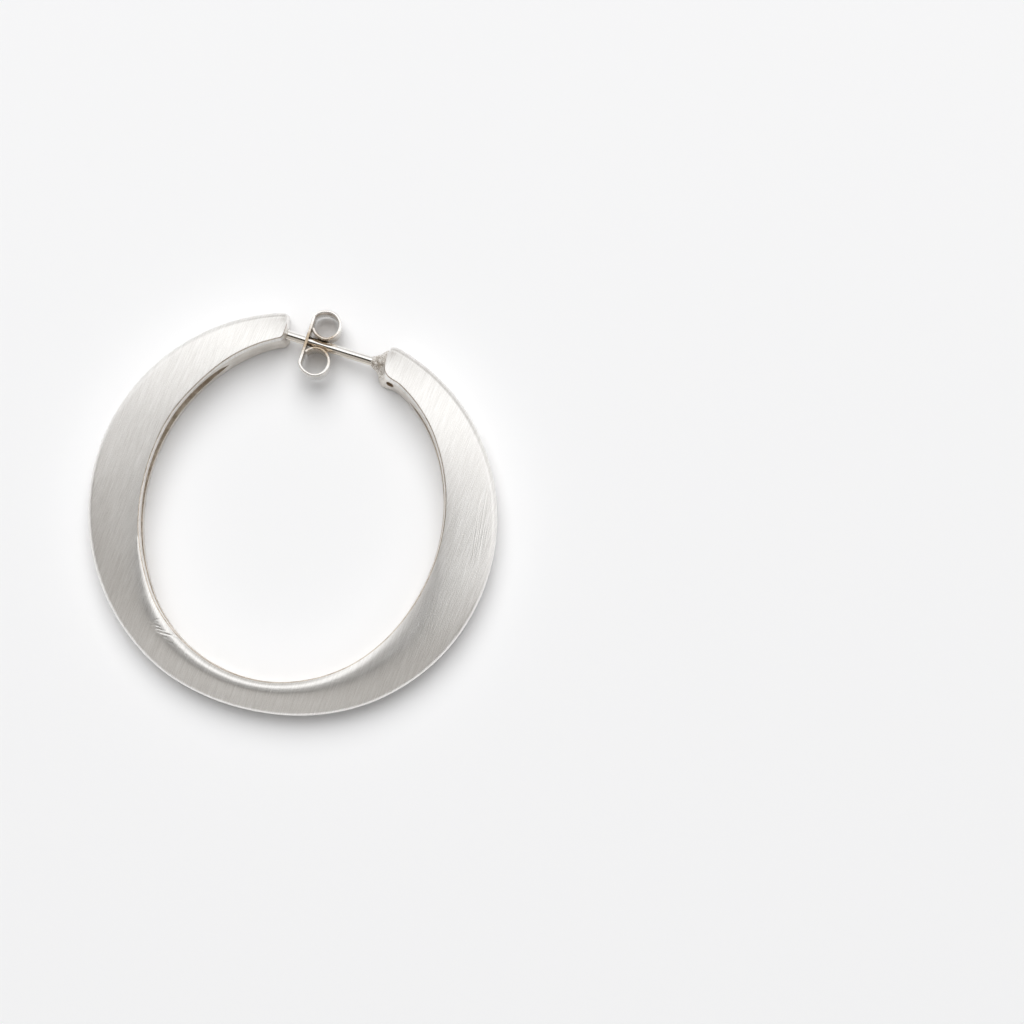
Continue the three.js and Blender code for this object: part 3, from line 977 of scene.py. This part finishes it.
    def build(self) -> bpy.types.Object:
        """Makes the band's mesh, with its finishes, and returns its object."""
        ways, insets = self.station_ways()
        outline = self.outline(ways, insets)
        across = np.concatenate(outline.across, axis=1)
        heights = np.concatenate(outline.heights, axis=1)
        turn = self.turn_at(ways)[:, None]
        x, y = across * np.cos(turn), across * np.sin(turn)
        top = slice(outline.spans["face"].start, outline.spans["lip"].stop - 1)
        for crease in self.creases:
            heights[:, top] += crease.rise(x[:, top], y[:, top])
        rows, columns = across.shape
        faces = grid_faces(rows, columns, False, True)
        faces.append(tuple(range(columns)))
        faces.append(tuple((rows - 1) * columns + index for index in reversed(range(columns))))
        chosen = np.zeros(len(faces), dtype=np.int32)
        spans = outline.spans
        around = chosen[:-2].reshape(rows - 1, columns)
        # The lip's arc gets a painted dark line of shade.
        around[:, spans["lip"].start:spans["lip"].stop - 1] = Skin.LIP
        # The wall below the bright steps, down round the foot, gets painted shade.
        around[:, spans["upper_wall"].start + self.bright_steps:spans["foot_edge"].stop - 1] = Skin.WALL
        around[:, spans["hollow"].start - 1:spans["hollow"].stop] = Skin.HOLLOW
        verts = np.stack([x, y, heights], axis=2).reshape(-1, 3) * MM
        skins = self.finish, self.hollow_finish, self.lip_painted_shade, self.wall_painted_shade
        return mesh_object("hoop_band", verts, faces, SHARP_DEG, [skin.material() for skin in skins], chosen)


@dataclass
class PostLine:
    """The post's axis, from the right end's face to the left end's."""

    band: HoopBand
    height: float = 1.9
    seat_share: float = 0.66
    tip_share: float = 0.76

    def end_point(self, way: float, share: float) -> np.ndarray:
        """Finds the axis on an end face.

        Args:
            way: 0 for the left end, 1 for the right.
            share: Share of the band's width there, counted from the outer side.

        Returns:
            The point, in millimetres.
        """
        band = self.band.band_at(np.array([way]))
        across = float(band["reach"][0] + (band["foot"][0] - band["reach"][0]) * share)
        turn = float(self.band.turn_at(np.array([way]))[0])
        return np.array([across * math.cos(turn), across * math.sin(turn), self.height])

    @property
    def seat(self) -> np.ndarray:
        """The axis on the right end's face."""
        return self.end_point(1.0, self.seat_share)

    @property
    def tip(self) -> np.ndarray:
        """The axis on the left end's face."""
        return self.end_point(0.0, self.tip_share)

    @property
    def span(self) -> float:
        """The distance between the two faces."""
        return float(np.linalg.norm(self.tip - self.seat))

    @property
    def across(self) -> tuple:
        """The direction across the axis, in the hoop's plane."""
        along = (self.tip - self.seat) / self.span
        return float(along[1]), float(-along[0])

    @property
    def middle(self) -> float:
        """How far along that direction the axis is, in metres."""
        return float(np.dot(self.across, self.seat[:2])) * MM

    def matrix(self) -> Matrix:
        """Returns the move that puts +Y on the axis, towards the tip, starting at the seat."""
        along = Vector((self.tip - self.seat) / self.span)
        up = Vector((0, 0, 1))
        side = along.cross(up)
        rotation = Matrix((side, along, up)).transposed().to_4x4()
        return Matrix.Translation(Vector(self.seat) * MM) @ rotation


@dataclass
class EndHoles:
    """The tip's blind hole in the left end and the vent hole near the right end, in millimetres."""

    line: PostLine
    finishes: list[bpy.types.Material]
    post_radius: float = 0.45
    tip_clearance: float = 0.08
    tip_depth: float = 0.95
    tip_overrun: float = 0.8
    vent_radius: float = 0.38
    vent_length: float = 2.6
    vent_from_end: float = 2.0
    vent_share: float = 0.4
    vent_height_share: float = 0.58
    vent_tilt: float = 60.0
    sides: int = 40

    def rod(self, name: str, radius: float, start: float, end: float) -> bpy.types.Object:
        """Makes a round cutter along +Y from start to end."""
        profile = np.array([(0, start), (radius, start), (radius, end), (0, end)])
        cutter = lathe(name, profile * MM, self.sides, SHARP_DEG)
        for finish in self.finishes:
            cutter.data.materials.append(finish)
        for face in cutter.data.polygons:
            face.material_index = Skin.HOLLOW
        return cutter

    def cut_tip_hole(self, hoop: bpy.types.Object) -> None:
        """Drills the hole that takes the post's tip."""
        face = self.line.span
        radius = self.post_radius + self.tip_clearance
        hole = self.rod("tip_hole", radius, face - self.tip_overrun, face + self.tip_depth)
        hole.data.transform(self.line.matrix())
        cut(hoop, hole)

    def cut_vent(self, hoop: bpy.types.Object) -> None:
        """Drills the vent hole in the inner wall."""
        way = 1 - self.line.band.way_of(self.vent_from_end)
        band = self.line.band.band_at(np.array([way]))
        hole = self.rod("vent_hole", self.vent_radius, -self.vent_length / 2, self.vent_length / 2)
        across = float(band["foot"][0] + (band["lip"][0] - band["foot"][0]) * self.vent_share)
        height = float(band["lip_height"][0]) * self.vent_height_share
        tilt = math.radians(90 - self.vent_tilt)
        turn = float(self.line.band.turn_at(np.array([way]))[0])
        hole.data.transform(
            Matrix.Rotation(turn, 4, "Z")
            @ Matrix.Translation(Vector((across * MM, 0, height * MM)))
            @ Matrix.Rotation(-tilt, 4, "Y")
            @ Matrix.Rotation(math.pi / 2, 4, "X")
        )
        cut(hoop, hole)


@dataclass
class PostAndSolder:
    """The round post and the solder at its root."""

    line: PostLine
    post_radius: float = 0.45
    tip_depth: float = 0.45
    tip_round: float = 0.15
    root_depth: float = 0.3
    post_sides: int = 72
    post_rings: int = 30
    solder_sides: int = 96
    flank_steps: int = 40
    cap_share: float = 0.9
    cap_stand: float = 1.05
    solder_radius: float = 1.4
    solder_stand: float = 1.0
    solder_depth: float = 0.6
    lump_size: float = 0.38
    lump_height: float = 0.09
    # The post's material carries painted light across the wire.
    post_painted_light: PostSilverPaintedLight = PostSilverPaintedLight()
    solder_finish: MottledSilver = MottledSilver(
        "grainy_solder", (0.42, 0.37, 0.31), (0.95, 0.925, 0.89), 0.29, 0.45,
        color_edge=(0.4, 0.56), bloom_mm=0.45, bloom_detail=2, bloom_color=0.4, bloom_rough=1.0,
        bloom_height=0.4, grain_mm=0.13, depth=0.11,
    )

    def build_post(self) -> bpy.types.Object:
        """Makes the post's mesh and returns its object."""
        tip = self.line.span + self.tip_depth
        turns = np.radians(np.linspace(0, 90, 6))
        nose = np.column_stack([
            self.post_radius - self.tip_round * (1 - np.cos(turns)),
            tip - self.tip_round * (1 - np.sin(turns)),
        ])
        heights = np.linspace(-self.root_depth, tip - self.tip_round, self.post_rings)
        length = np.column_stack([np.full(self.post_rings, self.post_radius), heights])
        profile = np.concatenate([[(0, -self.root_depth)], length, nose, [(0, tip)]])
        post = lathe("post", profile * MM, self.post_sides, SHARP_DEG)
        post.data.transform(self.line.matrix())
        return post

    def build_solder(self) -> bpy.types.Object:
        """Makes the solder's mesh, lumpy all over, and returns its object."""
        shares = SOLDER_PROFILE
        radius = self.post_radius + (self.solder_radius - self.post_radius) * shares[:, 0]
        heights = shares[:, 1] * self.solder_stand
        along = np.linspace(0, 1, self.flank_steps)
        knots = np.linspace(0, 1, len(radius))
        fine = np.column_stack([np.interp(along, knots, radius), np.interp(along, knots, heights)])
        cap = self.solder_stand * self.cap_stand
        profile = np.concatenate([
            [(0, -self.solder_depth), (self.solder_radius, -self.solder_depth)], fine,
            [(self.post_radius * self.cap_share, cap), (0, cap)],
        ])
        solder = lathe("solder_fillet", profile * MM, self.solder_sides, SOLDER_SHARP_DEG)
        solder.data.transform(self.line.matrix())
        for vertex in solder.data.vertices:
            lump = noise.noise(vertex.co / (self.lump_size * MM))
            vertex.co += vertex.normal * (lump * self.lump_height * MM)
        return solder

    def dress(self, post: bpy.types.Object, solder: bpy.types.Object) -> None:
        """Gives the post its polish, with painted light across it, and the solder its grain."""
        reach = self.post_radius * MM
        post.data.materials.append(self.post_painted_light.material(self.line.across, self.line.middle, reach))
        solder.data.materials.append(self.solder_finish.material())


@dataclass
class ButterflyNut:
    """The nut: one strip rolled into two scrolls, gripping the post."""

    line: PostLine
    strip: float = 0.27
    width: float = 2.4
    to_left_end: float = 1.69
    lean: float = 6.0
    clearance: float = 0.06
    post_radius: float = 0.45
    scroll_side: float = 1.78
    scroll_reach: float = 1.47
    scroll_radius: float = 1.28
    scroll_end_radius: float = 1.24
    join_angle: float = 158.0
    blend_angle: float = 100.0
    close_angle: float = 60.0
    end_angle: float = -150.0
    scroll_points: int = 120
    plate_points: int = 42
    edge_round: float = 0.07
    bore_reach: float = 9.0
    bore_sides: int = 72
    film_inside: float = 0.85
    film_outside: float = 0.22
    finish: StripSilver = StripSilver()
    film_finish: MottledSilver = MottledSilver(
        "browned_silver_strip", (0.55, 0.45, 0.35), (0.86, 0.77, 0.67), 0.12, 0.3,
    )

    def scroll_line(self, side: int) -> np.ndarray:
        """Works out one scroll's middle line.

        Args:
            side: 1 for the upper scroll, -1 for the lower.

        Returns:
            Points from where it leaves the plate to its free end, in millimetres.
        """
        angles = np.linspace(self.join_angle, self.end_angle, self.scroll_points)
        open_ = smooth_step(self.blend_angle, 180, angles)
        close = smooth_step(self.close_angle, -self.end_angle, -angles)
        roomy = self.scroll_radius + (self.scroll_reach - self.scroll_radius) * open_
        radius = roomy + (self.scroll_end_radius - roomy) * close
        turn = np.radians(angles)
        across = np.maximum(self.scroll_reach + radius * np.cos(turn), 0)
        return np.column_stack([across, side * (self.scroll_side + radius * np.sin(turn))])

    def middle_line(self) -> np.ndarray:
        """Joins both scrolls and the plate into one line."""
        lower = self.scroll_line(-1)[::-1]
        upper = self.scroll_line(1)
        plate = np.linspace(lower[-1], upper[0], self.plate_points)[1:-1]
        return np.concatenate([lower, plate, upper])

    def build(self) -> bpy.types.Object:
        """Makes the nut's mesh and returns its object."""
        line = self.middle_line()
        along = np.gradient(line, axis=0)
        along /= np.linalg.norm(along, axis=1)[:, None]
        out = np.column_stack([-along[:, 1], along[:, 0]])
        ring = self.strip_outline()
        rows = []
        for point, normal in zip(line, out):
            flat = point[None, :] + normal[None, :] * ring[:, :1]
            rows.append(np.column_stack([flat, ring[:, 1]]))
        verts = np.concatenate(rows)
        faces = grid_faces(len(line), len(ring), False, True)
        faces.append(tuple(range(len(ring))))
        faces.append(tuple((len(line) - 1) * len(ring) + i for i in reversed(range(len(ring)))))
        chosen = np.zeros(len(faces), dtype=np.int32)
        chosen[:-2].reshape(len(line) - 1, len(ring))[:, self.film_columns()] = 1
        finishes = [self.finish.material(self.line.across, self.line.middle), self.film_finish.material()]
        nut = mesh_object(Node.NUT.value + "_fine", verts * MM, faces, SHARP_DEG, finishes, chosen)
        radius, reach = self.post_radius + self.clearance, self.bore_reach
        rod = np.array([(0, -reach), (radius, -reach), (radius, reach), (0, reach)])
        bore = lathe("bore", rod * MM, self.bore_sides, SHARP_DEG)
        bore.data.transform(Matrix.Rotation(math.pi / 2, 4, "Z"))
        cut(nut, bore)
        shade(nut, SHARP_DEG)
        turn = Matrix.Rotation(-math.pi / 2, 4, "Z") @ Matrix.Rotation(-math.radians(self.lean), 4, "X")
        step = Matrix.Translation(Vector((0, (self.line.span - self.to_left_end) * MM, 0)))
        nut.data.transform(self.line.matrix() @ step @ turn)
        return nut

    def strip_outline(self) -> np.ndarray:
        """Works out the strip's section.

        Returns:
            Rows of distance from the middle line and height, round a rectangle with round corners.
        """
        half = self.strip / 2 - self.edge_round
        tall = self.width / 2 - self.edge_round
        points = []
        corners = (half, -tall, -90), (half, tall, 0), (-half, tall, 90), (-half, -tall, 180)
        for center_x, center_z, start in corners:
            turn = np.radians(np.linspace(start, start + 90, 5))
            points.append(np.column_stack([
                center_x + self.edge_round * np.cos(turn), center_z + self.edge_round * np.sin(turn),
            ]))
            if start in (-90, 90):
                side = math.copysign(self.strip / 2, center_x)
                film = self.film_outside if side > 0 else self.film_inside
                low = math.copysign(tall - film, center_z)
                points.append(np.array([(side, low), (side, -low)]))
        return np.concatenate(points)

    def film_columns(self) -> list[int]:
        """Lists the outline's edges that lie just below the upper rim."""
        ring = self.strip_outline()
        after = np.roll(ring, -1, axis=0)
        upright = np.abs(ring[:, 0] - after[:, 0]) < 1e-6
        high = np.minimum(ring[:, 1], after[:, 1]) > 0
        tall = np.abs(ring[:, 1] - after[:, 1]) > self.film_outside * 0.9
        return [int(index) for index in np.flatnonzero(upright & high & tall)]


@dataclass(frozen=True)
class DarkPatch:
    """A round dark patch in the sky, its place and sizes as angles in degrees."""

    azimuth: float
    lean: float
    inner: float
    outer: float
    share: float

    def level(self, kit: NodeKit, place: bpy.types.NodeSocket) -> bpy.types.NodeSocket:
        """Works out how much of the sky's light the patch lets through.

        Args:
            kit: The sky's helper.
            place: The direction in the sky.

        Returns:
            The level, from the patch's share inside it to 1 outside.
        """
        turn, lean = math.radians(self.azimuth), math.radians(self.lean)
        middle = (math.sin(lean) * math.cos(turn), math.sin(lean) * math.sin(turn), math.cos(lean))
        edges = math.cos(math.radians(self.outer)), math.cos(math.radians(self.inner))
        return kit.spread(kit.dot(place, middle), *edges, 1.0, self.share, "SMOOTHSTEP")


@dataclass
class Studio:
    """The camera, the pale floor and the soft light."""

    camera_x: float = 20.34
    camera_y: float = 0.19
    camera_height: float = 243.75
    focal_mm: float = 91.4
    sensor_mm: float = 36.0
    clip_start: float = 0.01
    floor_size: float = 3.0
    floor_color: tuple = (0.945, 0.945, 0.95)
    floor_roughness: float = 0.9
    floor_specular: float = 0.2
    key_azimuth: float = 92.0
    key_elevation: float = 55.0
    key_distance: float = 2.0
    key_size: float = 2.0
    key_power: float = 40.0
    fill_size: float = 3.0
    fill_height: float = 1.2
    fill_power: float = 10.6
    sky_azimuth: float = 68.0
    key_edge: tuple = (-0.26, 0.3)
    key_level: float = 1.22
    far_level: float = 0.43
    low_edge: tuple = (-0.9, -0.35)
    low_level: float = 0.18
    fade_edge: tuple = (0.45, 0.9)
    fade: float = -0.45
    horizon_edge: tuple = (0.0, 0.7)
    horizon_share: float = 0.72
    dark_patches: tuple[DarkPatch, ...] = (
        DarkPatch(azimuth=-122.0, lean=7.4, inner=9.5, outer=18.5, share=0.04),
        DarkPatch(azimuth=-38.0, lean=18.0, inner=3.5, outer=11.5, share=0.76),
    )
    warm_edge: tuple = (0.25, 1.0)
    shade_color: tuple = (1.0, 0.955, 0.9)
    lit_color: tuple = (1.0, 1.0, 1.0)

    def camera(self) -> None:
        """Adds the camera, looking straight down."""
        data = bpy.data.cameras.new("camera")
        data.lens = self.focal_mm
        data.sensor_width = self.sensor_mm
        data.clip_start = self.clip_start
        camera = bpy.data.objects.new("camera", data)
        camera.location = (self.camera_x * MM, self.camera_y * MM, self.camera_height * MM)
        bpy.context.scene.collection.objects.link(camera)
        bpy.context.scene.camera = camera

    def floor(self) -> bpy.types.Object:
        """Adds the pale floor and returns it."""
        mesh = bpy.data.meshes.new("floor")
        half = self.floor_size / 2
        corners = [(-half, -half, 0), (half, -half, 0), (half, half, 0), (-half, half, 0)]
        mesh.from_pydata(corners, [], [(0, 1, 2, 3)])
        floor = bpy.data.objects.new("floor", mesh)
        bpy.context.scene.collection.objects.link(floor)
        kit = NodeKit("pale_floor")
        surface = kit.add("ShaderNodeBsdfPrincipled")
        surface.inputs["Base Color"].default_value = (*self.floor_color, 1)
        surface.inputs["Roughness"].default_value = self.floor_roughness
        surface.inputs["Specular IOR Level"].default_value = self.floor_specular
        output = kit.add("ShaderNodeOutputMaterial")
        kit.link(surface.outputs["BSDF"], output.inputs["Surface"])
        mesh.materials.append(kit.material)
        return floor

    def sky(self) -> bpy.types.World:
        """Makes the sky that the metal mirrors: bright on the key's side, grey opposite, dark overhead."""
        world = bpy.data.worlds.new("sky")
        world.use_nodes = True
        world.cycles_visibility.diffuse = False
        kit = NodeKit.over(world.node_tree)
        place = kit.add("ShaderNodeTexCoord").outputs["Generated"]
        turn = math.radians(self.sky_azimuth)
        toward = kit.dot(place, (math.cos(turn), math.sin(turn), 0))
        up = kit.dot(place, (0, 0, 1))
        lit = kit.spread(toward, *self.key_edge, self.far_level, self.key_level, "SMOOTHERSTEP")
        low = kit.spread(toward, *self.low_edge, self.low_level, 0.0, "SMOOTHSTEP")
        fade = kit.spread(toward, *self.fade_edge, 0.0, self.fade, "SMOOTHSTEP")
        open_sky = kit.math("ADD", kit.math("ADD", lit, low), fade)
        horizon = kit.spread(up, *self.horizon_edge, self.horizon_share, 1.0, "SMOOTHSTEP")
        strength = kit.math("MULTIPLY", open_sky, horizon)
        for patch in self.dark_patches:
            strength = kit.math("MULTIPLY", strength, patch.level(kit, place))
        background = kit.add("ShaderNodeBackground")
        kit.link(strength, background.inputs["Strength"])
        warmth = kit.spread(strength, *self.warm_edge, 0.0, 1.0)
        kit.link(kit.tint(warmth, self.shade_color, self.lit_color), background.inputs["Color"])
        output = kit.add("ShaderNodeOutputWorld")
        kit.link(background.outputs["Background"], output.inputs["Surface"])
        return world

    def lamp(self, name: str, toward: Vector, distance: float, size: float, power: float) -> None:
        """Adds a round soft light that faces the object and that the metal doesn't mirror.

        Args:
            name: The light's name.
            toward: The direction that it stands in.
            distance: How far away it is, in metres.
            size: Its diameter.
            power: Its power, in watts.
        """
        data = bpy.data.lights.new(name, "AREA")
        data.shape = "DISK"
        data.size = size
        data.energy = power
        light = bpy.data.objects.new(name, data)
        light.location = toward * distance
        light.rotation_euler = (-toward).to_track_quat("-Z", "Y").to_euler()
        light.visible_glossy = False
        bpy.context.scene.collection.objects.link(light)

    def light(self) -> None:
        """Adds the sky, the key light and the fill light."""
        bpy.context.scene.world = self.sky()
        turn, lift = math.radians(self.key_azimuth), math.radians(self.key_elevation)
        toward = Vector((math.cos(turn) * math.cos(lift), math.sin(turn) * math.cos(lift), math.sin(lift)))
        self.lamp("key", toward, self.key_distance, self.key_size, self.key_power)
        self.lamp("fill", Vector((0, 0, 1)), self.fill_height, self.fill_size, self.fill_power)
        bpy.context.scene.view_settings.view_transform = "Standard"


def place(piece: bpy.types.Object, body: Body, slot: Slot, node: Node) -> None:
    """Rides a piece on its body, hides the CAD node that it stands for and logs its faces.

    Args:
        piece: The piece.
        body: The body it moves with.
        slot: The record's slot for its finish; not used.
        node: The CAD node it replaces.
    """
    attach(piece, body.value)
    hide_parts(node.value)
    LOG.info("%s: %d faces", piece.name, len(piece.data.polygons))


def main() -> None:
    """Builds every piece of the scene in order."""
    logging.basicConfig(level=logging.INFO, format="%(name)s: %(message)s")
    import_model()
    studio = Studio()
    studio.camera()
    studio.floor()
    studio.light()

    band = HoopBand()
    line = PostLine(band)
    hoop = band.build()
    holes = EndHoles(line, list(hoop.data.materials))
    holes.cut_tip_hole(hoop)
    holes.cut_vent(hoop)
    shade(hoop, SHARP_DEG)
    place(hoop, Body.HOOP, Slot.BRUSHED, Node.HOOP)

    root = PostAndSolder(line)
    post = root.build_post()
    solder = root.build_solder()
    root.dress(post, solder)
    place(post, Body.HOOP, Slot.POLISHED, Node.HOOP)
    place(solder, Body.HOOP, Slot.BRUSHED, Node.HOOP)

    fastener = ButterflyNut(line)
    nut = fastener.build()
    place(nut, Body.NUT, Slot.POLISHED, Node.NUT)


if __name__ == "__main__":
    main()
